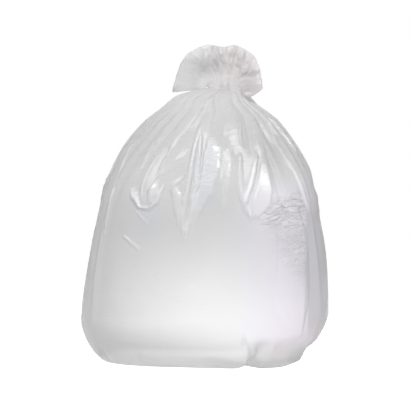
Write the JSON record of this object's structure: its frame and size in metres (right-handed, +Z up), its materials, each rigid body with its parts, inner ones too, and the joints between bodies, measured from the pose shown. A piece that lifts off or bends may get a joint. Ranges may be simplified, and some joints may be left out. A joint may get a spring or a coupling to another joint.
{
  "type": "tied bin bag",
  "caption": "Filled bin bag of thin translucent film, its neck gathered into a knot under a crumpled tuft, standing on its flat base.",
  "frame": {"origin": "middle of the bag's box, on the floor that it stands on", "axes": "+Z up, -Y the front that the picture shows, +X to the front's right"},
  "size_m": [0.4322, 0.3132, 0.548],
  "materials": {
    "film": "thin milky polyethylene film, translucent and glossy, with creases"
  },
  "bodies": {
    "root": {"bag": "film"}
  },
  "joints": []
}
